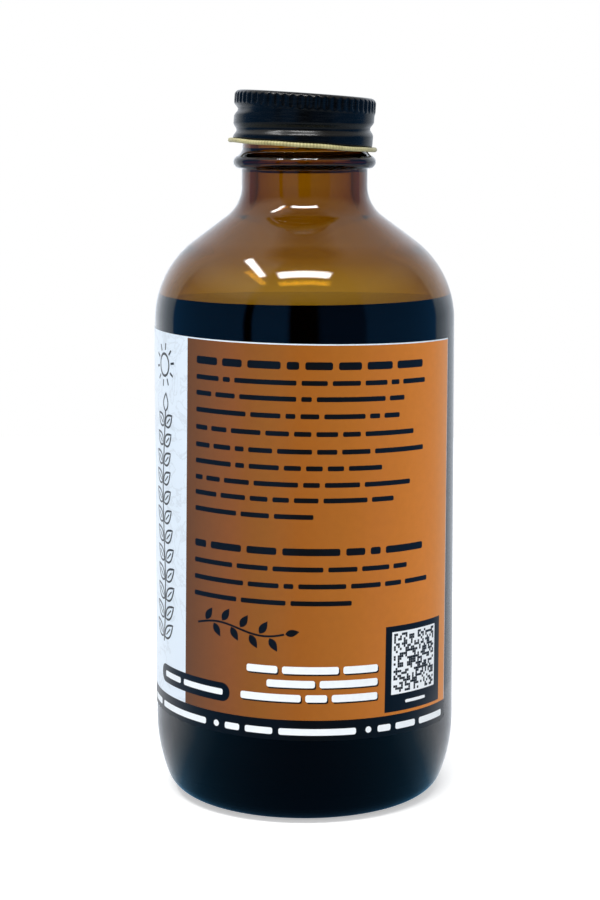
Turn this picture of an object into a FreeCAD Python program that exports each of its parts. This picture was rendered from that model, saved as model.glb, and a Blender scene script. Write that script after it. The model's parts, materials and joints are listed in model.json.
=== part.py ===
"""An eight fluid ounce amber glass bottle of the Boston round shape, with its contents, a wrap
label, an enamelled tin screw cap with a wad inside it, and a loop of elastic cord round the cap.

The bottle stands on z = 0 with its axis on Z and its front towards -Y. Sizes are millimetres and
degrees. The cap, its liner and the cord share one frame of their own, which starts at the middle
of the cap's lower edge and leans with the cap, because the cap sits askew on its thread.
"""
import FreeCAD, Part
import Sketcher
import math
import os
import re
from FreeCAD import Vector, Placement, Rotation

# ---------------------------------------------------------------- sizes
SIZES = [
    # the glass body, from the foot up
    ("body_radius", 30.5),        # outside of the straight wall
    ("body_wall", 2.3),           # glass thickness of wall and shoulder
    ("foot_inset", 7.3),          # from the wall in to the flat ring it stands on
    ("foot_width", 1.6),          # width of that flat ring
    ("foot_thickness", 5.0),      # glass above the foot ring
    ("heel_radius", 5.5),         # lower heel arc
    ("heel_sweep", 32.8),         # upper heel arc, which runs into the wall
    ("punt_rise", 2.2),           # hollow under the middle of the base
    ("base_thickness", 4.6),      # glass in the middle of the base
    ("floor_corner", 7.0),        # inside corner between floor and wall
    ("shoulder_radius", 20.0),    # outside shoulder arc
    ("shoulder_slope", 53.2),     # angle of the steepest part of the shoulder from upright
    ("neck_fillet", 7.5),         # outside arc between shoulder and neck
    ("throat_fillet", 10.0),      # inside arc between shoulder and bore
    ("neck_length", 3.5),         # straight neck under the transfer ring
    ("neck_step", 0.16),          # how far the neck stands out past the finish
    # the finish, which is what glassmakers call the part under the cap
    ("rim_height", 140.2),
    ("finish_radius", 12.6),
    ("finish_wall", 3.1),         # from the finish in to the bore
    ("finish_height", 10.2),      # from the transfer ring up to the rim
    ("ring_reach", 1.86),         # how far the transfer ring stands out past the finish
    ("ring_depth", 2.7),          # the ring's height along the neck
    ("ring_fillet", 1.8),         # hollow arc between the top of the ring and the finish
    ("lip_rounding", 0.8),
    ("thread_step", 4.233),       # rise of the thread in one turn: six turns to the inch
    ("thread_reach", 0.8),        # how far the glass thread stands out past the finish
    ("thread_round", 1.0),        # radius of the thread's rounded section
    ("thread_drop", 1.8),         # depth of the thread below the rim on the +X side
    ("thread_lead_angle", 20.0),  # how far the thread runs on past the +X side
    ("thread_sweep_angle", 300.0),
    # the contents
    ("fill_rise", 4.74),          # level of the contents above the start of the shoulder
    ("fill_clearance", 0.1),      # gap between the contents and the glass
    # the wrap label
    ("label_margin", 2.25),       # bare straight wall above and below the label
    ("label_gap", 13.8),          # bare wall between the label's two ends
    ("label_thickness", 0.12),
    ("label_clearance", 0.03),    # gap that stands for the adhesive
    ("label_lean_angle", 1.06),   # how far the label is turned on the bottle
    ("label_end_angle", 67.5),    # from the front round to its right hand end
    # the cap
    ("thread_clearance", 0.52),   # from the glass thread to the cap's wall
    ("tin", 0.28),
    ("rim_clearance", 0.35),      # how much lower the cap is than the finish
    ("cap_corner", 1.1),
    ("knurl_reach", 0.15),        # how far the knurls stand out past the plain skirt
    ("knurl_band", 2.9),          # height of the knurled band
    ("knurl_round", 0.55),        # radius of one flute
    ("knurl_depth", 0.3),
    ("knurl_count", 54),
    ("curl_height", 1.1),         # rolled lower edge
    ("curl_round", 0.9),
    ("curl_edge", 0.14),
    ("groove_round", 1.2),        # radius of the rolled thread seen from outside
    ("groove_depth", 0.7),
    ("groove_drop", 6.1),         # depth of the groove below the cap's top on the +X side
    ("groove_start_angle", -150.0),
    ("groove_end_angle", 200.0),
    ("cap_lean_angle", 3.95),     # how far the cap sits askew, low towards +X
    ("cap_shift", 0.23),          # how far the middle of its top lies towards +X
    ("seat_gap", 0.02),           # running gap between the film and the rim
    # the wad in the cap
    ("liner_margin", 0.92),       # from the cap's wall in to the wad
    ("board_thickness", 0.9),
    ("film_thickness", 0.06),
    ("liner_gap", 0.03),          # gap between the wad and the top of the cap
    # the elastic cord
    ("cord_thickness", 0.9),
    ("cord_reach", 0.5),          # from the cap's skirt out to the middle of the cord
    ("cord_drop", 0.42),          # middle of the cord, below the cap's lower edge
    ("knot_length", 2.6),
    ("knot_thickness", 2.2),
    ("knot_offset", 0.7),         # how far the knot bulges outwards
    ("knot_rounding", 0.5),
    ("tail_length", 4.2),
    ("tail_splay_angle", 16.0),   # lean of each cord end, sideways and outwards
]

# what follows from them
WORKED_OUT = [
    # glass: radii
    ("inner_radius", "body_radius - body_wall"),
    ("neck_radius", "finish_radius + neck_step"),
    ("bore_radius", "finish_radius - finish_wall"),
    ("ring_radius", "finish_radius + ring_reach"),
    # glass: foot, heel and floor
    ("foot_radius", "body_radius - foot_inset"),
    ("heel_reach", "body_radius - heel_sweep - foot_radius"),
    ("heel_rise", "sqrt((heel_sweep - heel_radius)^2 - heel_reach^2)"),
    ("heel_top", "heel_radius + heel_rise"),
    ("heel_join_x", "body_radius - heel_sweep - heel_sweep * heel_reach / (heel_sweep - heel_radius)"),
    ("heel_join_z", "heel_top - heel_sweep * heel_rise / (heel_sweep - heel_radius)"),
    ("dome_edge", "foot_radius - foot_width"),
    ("dome_radius", "(dome_edge^2 + punt_rise^2) / (2 * punt_rise)"),
    ("floor_edge", "inner_radius - floor_corner"),
    ("floor_top", "punt_rise + base_thickness"),
    ("floor_rise", "floor_top - foot_thickness"),
    ("floor_radius", "(floor_edge^2 + floor_rise^2) / (2 * floor_rise)"),
    # glass: ring, neck and shoulder, from the rim down
    ("ring_round", "ring_depth / 2"),
    ("ring_flat", "ring_radius - ring_round"),
    ("ring_top", "rim_height - finish_height"),
    ("ring_height", "ring_top - ring_round"),
    ("ring_foot", "ring_top - ring_depth"),
    ("hollow_reach", "finish_radius + ring_fillet - ring_flat"),
    ("hollow_rise", "sqrt((ring_round + ring_fillet)^2 - hollow_reach^2)"),
    ("hollow_top", "ring_height + hollow_rise"),
    ("hollow_join_x", "ring_flat + ring_round * hollow_reach / (ring_round + ring_fillet)"),
    ("hollow_join_z", "ring_height + ring_round * hollow_rise / (ring_round + ring_fillet)"),
    ("neck_foot", "ring_foot - neck_length"),
    ("shoulder_middle", "body_radius - shoulder_radius"),
    ("cone_foot_x", "shoulder_middle + shoulder_radius * cos(shoulder_slope)"),
    ("cone_top_x", "neck_radius + neck_fillet * (1 - cos(shoulder_slope))"),
    ("cone_top_z", "neck_foot - neck_fillet * sin(shoulder_slope)"),
    ("cone_foot_z", "cone_top_z - (cone_foot_x - cone_top_x) / tan(shoulder_slope)"),
    ("shoulder_start", "cone_foot_z - shoulder_radius * sin(shoulder_slope)"),
    # glass: inside of shoulder and throat
    ("inner_shoulder", "shoulder_radius - body_wall"),
    ("inner_foot_x", "shoulder_middle + inner_shoulder * cos(shoulder_slope)"),
    ("inner_foot_z", "shoulder_start + inner_shoulder * sin(shoulder_slope)"),
    ("throat_x", "bore_radius + throat_fillet * (1 - cos(shoulder_slope))"),
    ("throat_z", "inner_foot_z + (inner_foot_x - throat_x) / tan(shoulder_slope)"),
    ("bore_foot", "throat_z + throat_fillet * sin(shoulder_slope)"),
    # glass: thread
    ("thread_crest", "finish_radius + thread_reach"),
    ("thread_helix", "thread_crest - thread_round"),
    ("thread_rise", "thread_step * thread_sweep_angle / 360"),
    ("thread_foot_angle", "thread_lead_angle - thread_sweep_angle"),
    ("thread_foot", "rim_height - thread_drop + thread_step * thread_foot_angle / 360"),
    # contents
    ("fill_radius", "inner_radius - fill_clearance"),
    ("fill_shoulder", "inner_shoulder - fill_clearance"),
    ("fill_height", "shoulder_start + fill_rise"),
    ("fill_top_x", "shoulder_middle + sqrt(fill_shoulder^2 - fill_rise^2)"),
    # label
    ("label_inside", "body_radius + label_clearance"),
    ("label_length", "2 * pi * label_inside - label_gap"),
    ("label_height", "shoulder_start - heel_top - 2 * label_margin"),
    ("label_middle", "(shoulder_start + heel_top) / 2"),
    # cap
    ("cap_inside", "thread_crest + thread_clearance"),
    ("skirt_radius", "cap_inside + tin"),
    ("cap_radius", "skirt_radius + knurl_reach"),
    ("cap_height", "finish_height - rim_clearance"),
    ("cap_ceiling", "cap_height - tin"),
    ("inner_corner", "cap_corner - tin"),
    ("groove_helix", "skirt_radius - groove_depth + groove_round"),
    ("groove_rise", "thread_step * (groove_end_angle - groove_start_angle) / 360"),
    ("groove_foot", "cap_height - groove_drop + thread_step * groove_start_angle / 360"),
    # wad
    ("liner_radius", "cap_inside - liner_margin"),
    ("board_foot", "cap_ceiling - liner_gap - board_thickness"),
    ("film_foot", "board_foot - film_thickness"),
    ("seat_reach", "finish_radius - lip_rounding"),
    # cord
    ("cord_round", "cord_thickness / 2"),
    ("cord_loop_radius", "skirt_radius + cord_reach"),
    ("knot_middle", "cord_loop_radius + knot_offset"),
]

doc = FreeCAD.newDocument("amber_bottle")
sheet = doc.addObject("Spreadsheet::Sheet", "Sizes")
for row, (alias, value) in enumerate(SIZES, start=1):
    sheet.set(f"A{row}", alias)
    sheet.set(f"B{row}", str(value))
    sheet.setAlias(f"B{row}", alias)
for row, (alias, formula) in enumerate(WORKED_OUT, start=1):
    sheet.set(f"D{row}", alias)
    sheet.set(f"E{row}", "=" + formula)
    sheet.setAlias(f"E{row}", alias)
doc.recompute()

NAMES = {alias for alias, _ in SIZES + WORKED_OUT}


def bound(expression):
    """The expression with each of the sheet's names spelled out in full."""
    return re.sub(r"[a-z_]+", lambda word: "Sizes." + word[0] if word[0] in NAMES else word[0],
                  expression)


def size(expression):
    """The present value of an expression in the sheet's names."""
    return float(sheet.evalExpression(bound(expression)))


def bind(feature, **expressions):
    """Tie properties of a feature to the sheet."""
    for name, expression in expressions.items():
        feature.setExpression(name.replace("__", "."), bound(expression))


# ---------------------------------------------------------------- helpers
START, END, MIDDLE = 1, 2, 3      # how a sketch numbers the points of a line, arc or circle
FIRST_AXIS, FIRST_POINT = -1, 1   # the sketch's own X axis and its start, the origin


def new_body(label):
    """An empty PartDesign body."""
    body = doc.addObject("PartDesign::Body", label + "_body")
    body.Label = label
    return body


def origin_plane(body, role):
    """One of a body's own base planes."""
    return next(item for item in body.Origin.OriginFeatures if item.Role == role)


def arc_between(start, end, radius):
    """An arc from start to end in a sketch: it turns left where radius is positive."""
    chord = end - start
    across = Vector(-chord.y, chord.x, 0).normalize()
    rise = math.sqrt(max(radius ** 2 - chord.Length ** 2 / 4, 0))
    centre = (start + end) / 2 + across * math.copysign(rise, radius)
    first = math.atan2(start.y - centre.y, start.x - centre.x)
    last = math.atan2(end.y - centre.y, end.x - centre.x)
    if radius < 0:
        first, last = last, first
    circle = Part.Circle(centre, Vector(0, 0, 1), abs(radius))
    return Part.ArcOfCircle(circle, first, last if last > first else last + 2 * math.pi)


def draw_outline(body, label, corners):
    """A closed sketch on the body's XZ plane. A corner is (x, z) or (x, z, radius of the arc
    that leads to the next corner, turn), where turn is +1 for left and -1 for right."""
    sketch = body.newObject("Sketcher::SketchObject", label)
    sketch.AttachmentSupport = (origin_plane(body, "XZ_Plane"), "")
    sketch.MapMode = "FlatFace"
    places = [Vector(size(corner[0]), size(corner[1]), 0) for corner in corners]
    for index, corner in enumerate(corners):
        start, end = places[index], places[(index + 1) % len(places)]
        if len(corner) == 2:
            sketch.addGeometry(Part.LineSegment(start, end), False)
        else:
            sketch.addGeometry(arc_between(start, end, corner[3] * size(corner[2])), False)
    starts = [END if len(corner) == 4 and corner[3] < 0 else START for corner in corners]
    for index, corner in enumerate(corners):
        following = (index + 1) % len(corners)
        sketch.addConstraint(Sketcher.Constraint(
            "Coincident", index, END if starts[index] == START else START,
            following, starts[following]))
        for kind, text in (("DistanceX", corner[0]), ("DistanceY", corner[1])):
            number = sketch.addConstraint(Sketcher.Constraint(
                kind, FIRST_AXIS, FIRST_POINT, index, starts[index], size(text)))
            sketch.setExpression(f"Constraints[{number}]", bound(text))
        if len(corner) == 4:
            number = sketch.addConstraint(Sketcher.Constraint("Radius", index, size(corner[2])))
            sketch.setExpression(f"Constraints[{number}]", bound(corner[2]))
    return sketch


def revolve(body, sketch):
    """Turn an outline right round the body's Z axis."""
    feature = body.newObject("PartDesign::Revolution", sketch.Label + "_turned")
    feature.Profile = sketch
    feature.ReferenceAxis = (sketch, ["V_Axis"])
    feature.Angle = 360.0
    return feature


def round_thread(label, helix_radius, pitch, rise, section, foot_angle, foot):
    """A rod of round section on a right handed helix, with a ball at each end."""
    helix = doc.addObject("Part::Helix", label + "_path")
    bind(helix, Pitch=pitch, Height=rise, Radius=helix_radius)
    circle = doc.addObject("Part::Circle", label + "_section")
    bind(circle, Radius=section, Placement__Base__x=helix_radius)
    circle.Placement.Rotation = Rotation(Vector(1, 0, 0), 90)
    rod = doc.addObject("Part::Sweep", label + "_rod")
    rod.Sections = [circle]
    rod.Spine = (helix, ["Edge1"])
    rod.Solid = True
    rod.Frenet = True
    balls = []
    for end, (turned, lifted) in {"foot": ("0", "0"), "head": (f"360 * ({rise}) / ({pitch})", rise)}.items():
        ball = doc.addObject("Part::Sphere", f"{label}_{end}")
        bind(ball, Radius=section,
             Placement__Base__x=f"({helix_radius}) * cos({turned})",
             Placement__Base__y=f"({helix_radius}) * sin({turned})",
             Placement__Base__z=lifted)
        balls.append(ball)
    thread = doc.addObject("Part::MultiFuse", label)
    thread.Shapes = [rod] + balls
    thread.Placement.Rotation = Rotation(Vector(0, 0, 1), size(foot_angle))
    bind(thread, Placement__Base__z=foot, Placement__Rotation__Angle=foot_angle)
    return thread


# ---------------------------------------------------------------- the bottle
def make_bottle():
    """Amber glass, blown in one piece with its foot, ring and thread."""
    blank = new_body("bottle_blank")
    outline = draw_outline(blank, "bottle_outline", [
        ("dome_edge", "0"),
        ("foot_radius", "0", "heel_radius", +1),
        ("heel_join_x", "heel_join_z", "heel_sweep", +1),
        ("body_radius", "heel_top"),
        ("body_radius", "shoulder_start", "shoulder_radius", +1),
        ("cone_foot_x", "cone_foot_z"),
        ("cone_top_x", "cone_top_z", "neck_fillet", -1),
        ("neck_radius", "neck_foot"),
        ("neck_radius", "ring_foot"),
        ("ring_flat", "ring_foot", "ring_round", +1),
        ("ring_radius", "ring_height", "ring_round", +1),
        ("hollow_join_x", "hollow_join_z", "ring_fillet", -1),
        ("finish_radius", "hollow_top"),
        ("finish_radius", "rim_height - lip_rounding", "lip_rounding", +1),
        ("seat_reach", "rim_height"),
        ("bore_radius + lip_rounding", "rim_height", "lip_rounding", +1),
        ("bore_radius", "rim_height - lip_rounding"),
        ("bore_radius", "bore_foot", "throat_fillet", +1),
        ("throat_x", "throat_z"),
        ("inner_foot_x", "inner_foot_z", "inner_shoulder", -1),
        ("inner_radius", "shoulder_start"),
        ("inner_radius", "foot_thickness + floor_corner", "floor_corner", -1),
        ("floor_edge", "foot_thickness", "floor_radius", +1),
        ("0", "floor_top"),
        ("0", "punt_rise", "dome_radius", -1),
    ])
    revolve(blank, outline)
    thread = round_thread("glass_thread", "thread_helix", "thread_step", "thread_rise",
                          "thread_round", "thread_foot_angle", "thread_foot")
    bottle = doc.addObject("Part::Fuse", "glass_bottle")
    bottle.Base, bottle.Tool = blank, thread
    bottle.Refine = False
    return bottle


def make_fill():
    """The dark liquid, up to its level in the shoulder."""
    fill = new_body("liquid_fill")
    gap = "fill_clearance"
    outline = draw_outline(fill, "fill_outline", [
        ("0", f"floor_top + {gap}", "floor_radius", -1),
        ("floor_edge", f"foot_thickness + {gap}", f"floor_corner - {gap}", +1),
        ("fill_radius", "foot_thickness + floor_corner"),
        ("fill_radius", "shoulder_start", "fill_shoulder", +1),
        ("fill_top_x", "fill_height"),
        ("0", "fill_height"),
    ])
    revolve(fill, outline)
    return fill


def make_label():
    """A rectangle of label paper, turned a little and wrapped on the straight wall."""
    inside, length, half = size("label_inside"), size("label_length"), size("label_height / 2")
    lean = math.radians(size("label_lean_angle"))
    front = math.radians(270)
    end = math.radians(size("label_end_angle")) * inside
    wall = Part.Cylinder()
    wall.Radius = inside
    corners = []
    for along, up in ((0, -half), (0, half), (-length, half), (-length, -half)):
        around = end + along * math.cos(lean) + up * math.sin(lean)
        lift = up * math.cos(lean) - along * math.sin(lean) - end * math.tan(lean)
        corners.append(FreeCAD.Base.Vector2d(front + around / inside, size("label_middle") + lift))
    edges = [Part.Geom2d.Line2dSegment(first, second).toShape(wall)
             for first, second in zip(corners, corners[1:] + corners[:1])]
    face = Part.Face(wall, Part.Wire(edges))
    face.validate()
    label = doc.addObject("Part::Feature", "wrap_label")
    label.Shape = face.makeOffsetShape(size("label_thickness"), 1e-5, fill=True)
    return label


# ---------------------------------------------------------------- the cap and its wad
LEAN = Rotation(Vector(0, 1, 0), size("cap_lean_angle"))


def cap_frame():
    """Where the middle of the cap's lower edge lies: its low side rests on the rim."""
    lean = math.radians(size("cap_lean_angle"))
    film = size("cap_height - film_foot")
    reach = size("seat_reach - cap_shift") + film * math.sin(lean)
    top = size("rim_height + seat_gap") + film * math.cos(lean) + reach * math.tan(lean)
    drop = LEAN.multVec(Vector(0, 0, -size("cap_height")))
    return Placement(Vector(size("cap_shift"), 0, top) + drop, LEAN)


def make_cap():
    """The tin shell: a knurled band, a rolled thread and a curled lower edge."""
    shell = new_body("cap_blank")
    outline = draw_outline(shell, "cap_outline", [
        ("cap_inside", "cap_ceiling - inner_corner"),
        ("cap_inside", "curl_edge"),
        ("(cap_inside + skirt_radius) / 2", "0", "curl_round", +1),
        ("skirt_radius", "curl_height"),
        ("skirt_radius", "cap_height - knurl_band"),
        ("cap_radius", "cap_height - knurl_band + cap_radius - skirt_radius"),
        ("cap_radius", "cap_height - cap_corner", "cap_corner", +1),
        ("cap_radius - cap_corner", "cap_height"),
        ("0", "cap_height"),
        ("0", "cap_ceiling"),
        ("cap_inside - inner_corner", "cap_ceiling", "inner_corner", -1),
    ])
    revolve(shell, outline)
    doc.recompute()
    flute = shell.newObject("Sketcher::SketchObject", "flute_outline")
    flute.AttachmentSupport = (origin_plane(shell, "XY_Plane"), "")
    flute.MapMode = "FlatFace"
    bind(flute, AttachmentOffset__Base__z="cap_height")
    middle = "cap_radius + knurl_round - knurl_depth"
    flute.addGeometry(Part.Circle(Vector(size(middle), 0, 0), Vector(0, 0, 1), size("knurl_round")))
    flute.addConstraint(Sketcher.Constraint("PointOnObject", 0, MIDDLE, FIRST_AXIS))
    across = flute.addConstraint(Sketcher.Constraint(
        "DistanceX", FIRST_AXIS, FIRST_POINT, 0, MIDDLE, size(middle)))
    flute.setExpression(f"Constraints[{across}]", bound(middle))
    radius = flute.addConstraint(Sketcher.Constraint("Radius", 0, size("knurl_round")))
    flute.setExpression(f"Constraints[{radius}]", bound("knurl_round"))
    pocket = shell.newObject("PartDesign::Pocket", "flute")
    pocket.Profile = flute
    bind(pocket, Length="knurl_band")
    doc.recompute()
    ring = shell.newObject("PartDesign::PolarPattern", "knurls")
    ring.Originals = [pocket]
    ring.Axis = (flute, ["N_Axis"])
    ring.Angle = 360
    bind(ring, Occurrences="knurl_count")
    shell.Tip = ring

    place = ("groove_helix", "thread_step", "groove_rise")
    ridge = round_thread("rolled_ridge", *place, "groove_round + tin", "groove_start_angle", "groove_foot")
    core = doc.addObject("Part::Cylinder", "ridge_core")
    bind(core, Radius="cap_inside + tin / 2", Height="cap_height")
    inside = doc.addObject("Part::Common", "ridge_inside")
    inside.Base, inside.Tool = ridge, core
    walled = doc.addObject("Part::Fuse", "cap_with_ridge")
    walled.Base, walled.Tool = shell, inside
    groove = round_thread("rolled_groove", *place, "groove_round", "groove_start_angle", "groove_foot")
    cap = doc.addObject("Part::Cut", "cap_shell")
    cap.Base, cap.Tool = walled, groove
    cap.Placement = cap_frame()
    return cap


def make_disc(label, thickness, foot):
    """One layer of the wad."""
    disc = doc.addObject("Part::Cylinder", label)
    bind(disc, Radius="liner_radius", Height=thickness)
    disc.Placement = cap_frame().multiply(Placement(Vector(0, 0, size(foot)), Rotation()))
    return disc


# ---------------------------------------------------------------- the elastic cord
def half_gap():
    """Half the angle of the loop that the knot takes up."""
    return math.degrees(math.asin(size("knot_length / 2") / size("cord_loop_radius")))


def make_loop():
    """The loop, open at the back where its two ends run into the knot."""
    loop = doc.addObject("Part::Torus", "stretch_loop")
    bind(loop, Radius1="cord_loop_radius", Radius2="cord_round")
    loop.Angle3 = 360 - 2 * half_gap()
    turn = Rotation(Vector(0, 0, 1), 90 + half_gap())
    loop.Placement = cap_frame().multiply(Placement(Vector(0, 0, -size("cord_drop")), turn))
    return loop


def make_knot():
    """The knot at the back, with the two cut ends hanging from it."""
    length, radius = size("knot_length"), size("knot_thickness / 2")
    cord = size("cord_round")
    barrel = Part.makeCylinder(radius, length, Vector(-length / 2, 0, 0), Vector(1, 0, 0))
    barrel = barrel.makeFillet(size("knot_rounding"), barrel.Edges[:1] + barrel.Edges[2:])
    for side in (-1, 1):
        lean = math.radians(size("tail_splay_angle"))
        way = Vector(side * math.sin(lean), math.sin(lean), -math.cos(lean))
        start = Vector(side * length / 4, 0, 0)
        barrel = barrel.fuse(Part.makeCylinder(cord, size("tail_length"), start, way))
    knot = doc.addObject("Part::Feature", "loop_knot")
    knot.Shape = barrel
    place = Placement(Vector(0, size("knot_middle"), -size("cord_drop")), Rotation())
    knot.Placement = cap_frame().multiply(place)
    return knot


# ---------------------------------------------------------------- the whole part
parts = [make_bottle(), make_fill(), make_label(), make_cap(),
         make_disc("liner_board", "board_thickness", "board_foot"),
         make_disc("liner_film", "film_thickness", "film_foot"),
         make_loop(), make_knot()]
doc.recompute()

for item in doc.Objects:
    if {"Invalid", "Error"} & set(item.State):
        raise RuntimeError(f"{item.Label} could not be rebuilt")
os.makedirs("parts", exist_ok=True)
for part in parts:
    if part.Shape.isNull() or not part.Shape.isValid() or not part.Shape.Solids:
        raise RuntimeError(f"{part.Label} is not a sound solid")
for part in parts:
    part.Shape.exportStep(f"parts/{part.Label}.step")
    box = part.Shape.BoundBox
    print(f"{part.Label}: {len(part.Shape.Solids)} solid, {part.Shape.Volume:.1f} cubic mm,"
          f" z {box.ZMin:.2f} to {box.ZMax:.2f}")
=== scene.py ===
"""An amber glass bottle with dark contents, a wrap label, a black screw cap and an elastic loop.

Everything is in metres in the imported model's frame: the bottle stands on z = 0, its axis is Z and its
front looks towards -Y. The file goes from the room to the glass, the contents, the label, the cap, the
wad in the cap and the cord round it.
"""
import json
import math
import bmesh
import bpy
from mathutils import Matrix, Vector


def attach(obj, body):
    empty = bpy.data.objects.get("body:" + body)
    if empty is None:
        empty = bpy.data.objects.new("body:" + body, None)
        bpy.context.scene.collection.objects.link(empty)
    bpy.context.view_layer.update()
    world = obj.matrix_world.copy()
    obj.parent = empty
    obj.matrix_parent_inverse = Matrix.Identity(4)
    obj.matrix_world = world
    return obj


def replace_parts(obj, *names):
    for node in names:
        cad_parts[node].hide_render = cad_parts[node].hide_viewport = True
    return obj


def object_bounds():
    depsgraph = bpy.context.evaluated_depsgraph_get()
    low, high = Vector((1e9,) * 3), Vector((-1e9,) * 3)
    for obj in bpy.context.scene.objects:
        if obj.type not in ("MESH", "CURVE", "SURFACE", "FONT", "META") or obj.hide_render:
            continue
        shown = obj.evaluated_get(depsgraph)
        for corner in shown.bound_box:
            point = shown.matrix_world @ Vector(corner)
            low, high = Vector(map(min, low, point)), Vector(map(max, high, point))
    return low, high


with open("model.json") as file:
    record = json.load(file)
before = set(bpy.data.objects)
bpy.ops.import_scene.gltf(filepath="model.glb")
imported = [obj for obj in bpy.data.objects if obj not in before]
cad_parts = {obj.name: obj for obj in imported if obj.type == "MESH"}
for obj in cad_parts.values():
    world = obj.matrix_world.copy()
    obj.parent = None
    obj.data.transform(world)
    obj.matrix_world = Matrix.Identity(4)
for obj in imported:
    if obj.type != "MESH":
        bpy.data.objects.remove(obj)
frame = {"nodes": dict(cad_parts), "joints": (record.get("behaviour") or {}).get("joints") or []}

cad_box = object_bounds()
MM = 0.001


# ---------------------------------------------------------------- the room
# White paper under the bottle and plain white behind it, a room that shows only mirrored, pale walls
# that show only through the glass, even soft light, and two lamp tubes overhead: one across the front
# and one along the left side.

def colour(code):
    """An sRGB hex code as a linear colour with full alpha."""
    parts = [int(code[start:start + 2], 16) / 255 for start in (1, 3, 5)]
    return [part / 12.92 if part <= 0.04045 else ((part + 0.055) / 1.055) ** 2.4 for part in parts] + [1]


def add_node(tree, kind, inputs=(), stops=(), **settings):
    """Add a node with its settings. Each input, by number or name, takes a value, a socket, or a node
    that stands for its first output. A colour ramp also takes its stops."""
    node = tree.nodes.new(kind)
    for name, value in settings.items():
        setattr(node, name, value)
    for key, value in (inputs.items() if isinstance(inputs, dict) else enumerate(inputs)):
        if isinstance(value, bpy.types.Node):
            value = value.outputs[0]
        if isinstance(value, bpy.types.NodeSocket):
            tree.links.new(value, node.inputs[key])
        elif value is not None:
            node.inputs[key].default_value = value
    for number, (place, code) in enumerate(stops):
        ends = node.color_ramp.elements
        stop = ends[number] if number < 2 else ends.new(place)
        stop.position, stop.color = place, colour(code)
    return node


def new_material(name):
    """A material with an empty node tree."""
    material = bpy.data.materials.new(name)
    material.use_nodes = True
    material.node_tree.nodes.clear()
    return material, material.node_tree


def calc(tree, operation, *values):
    """The result of a sum on one, two or three values."""
    return add_node(tree, "ShaderNodeMath", values, operation=operation)


def spread(tree, value, low, high, first=0.0, last=1.0, **settings):
    """A value brought from the range low to high into the range first to last."""
    return add_node(tree, "ShaderNodeMapRange", (value, low, high, first, last), **settings)


def ease(tree, value, low, high):
    """A value brought from the range low to high into 0 to 1, with soft ends."""
    return spread(tree, value, low, high, interpolation_type="SMOOTHSTEP")


def ramp(tree, value, *stops):
    """A colour that follows a value through (place, hex code) stops."""
    return add_node(tree, "ShaderNodeValToRGB", (value,), stops)


def mixed(tree, share, first, second):
    """Two colours mixed, all of the second where the share is 1."""
    return add_node(tree, "ShaderNodeMix", {0: share, 6: first, 7: second}, data_type="RGBA").outputs[2]


def by_ray(tree, plain, mirrored, refracted, seen):
    """A shader for each kind of ray: light on matt things, mirrored, through glass, and the camera's."""
    rays = add_node(tree, "ShaderNodeLightPath").outputs
    lit = add_node(tree, "ShaderNodeMixShader", (rays["Is Glossy Ray"], plain, mirrored))
    lit = add_node(tree, "ShaderNodeMixShader", (rays["Is Transmission Ray"], lit, refracted))
    return add_node(tree, "ShaderNodeMixShader", (rays["Is Camera Ray"], lit, seen))


def noise(tree, place, size, detail, more=()):
    """Noise with patches of a size in millimetres."""
    inputs = {"Vector": place, "Scale": 1 / (size * MM), "Detail": detail}
    return add_node(tree, "ShaderNodeTexNoise", dict(inputs, **dict(more)))


def bump(tree, height, depth, strength=0.5):
    """The normal of a fine relief, its depth in millimetres."""
    return add_node(tree, "ShaderNodeBump", {"Height": height, "Distance": depth * MM, "Strength": strength})


def coat(tree, inputs, volume=None):
    """Give a material its surface and, if asked, its inside."""
    surface = add_node(tree, "ShaderNodeBsdfPrincipled", inputs)
    add_node(tree, "ShaderNodeOutputMaterial", {"Surface": surface, "Volume": volume})


def own_place(tree):
    """A point's place on its object."""
    return add_node(tree, "ShaderNodeTexCoord").outputs["Object"]


scene = bpy.context.scene
scene.view_settings.view_transform = "Standard"

# The camera stands 0.42 m in front, level with the foot of the cap, and looks down by five degrees.
camera = bpy.data.objects.new("camera", bpy.data.cameras.new("camera"))
camera.location = (0, -0.4249, 0.1336)
camera.rotation_euler = (math.radians(84.872), 0, 0)
camera.data.lens = 83.5
camera.data.shift_x = -0.0051
camera.data.shift_y = -0.1393
camera.data.clip_start = 0.01
scene.collection.objects.link(camera)
scene.camera = camera

# The room's colours by bearing, in degrees from the front towards the right: pale behind, and blue
# blinds with dark gaps and a door at the sides and in front. Low down and high up they differ.
PAPER, SHADE, BLIND, GAP, DOOR = "#F0F6FF", "#A9B7C4", "#2C6598", "#050607", "#1A3E60"
LEFT_BACK = [(-180, PAPER), (-150, PAPER), (-121, SHADE)]
FRONT = [(-118, BLIND), (-48, BLIND), (-46, GAP), (-41, GAP), (-39, BLIND), (-14, BLIND), (-10, GAP),
         (9, GAP), (13, DOOR), (46, DOOR), (49, BLIND), (118, BLIND)]
RIGHT_BACK = [(121, SHADE), (150, PAPER), (180, PAPER)]
LOW_RIGHT_BACK = [(121, "#94A2AF"), (148, "#C6CED8"), (172, "#CCD2DA"), (180, PAPER)]
HIGH_UP = [(-180, "#D8DCE0"), (-100, "#F0F0EE"), (-49, "#F0F0EE"), (-37, "#A8A294"), (44, "#A8A294"),
           (56, "#B8B4AC"), (100, "#C8C8C6"), (180, "#D8DCE0")]


def all_round(tree, turn, stops):
    """A colour that follows a turn of 0 to 1 through (bearing, hex code) stops."""
    return ramp(tree, turn, *[((bearing + 180) / 360, code) for bearing, code in stops])


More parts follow.
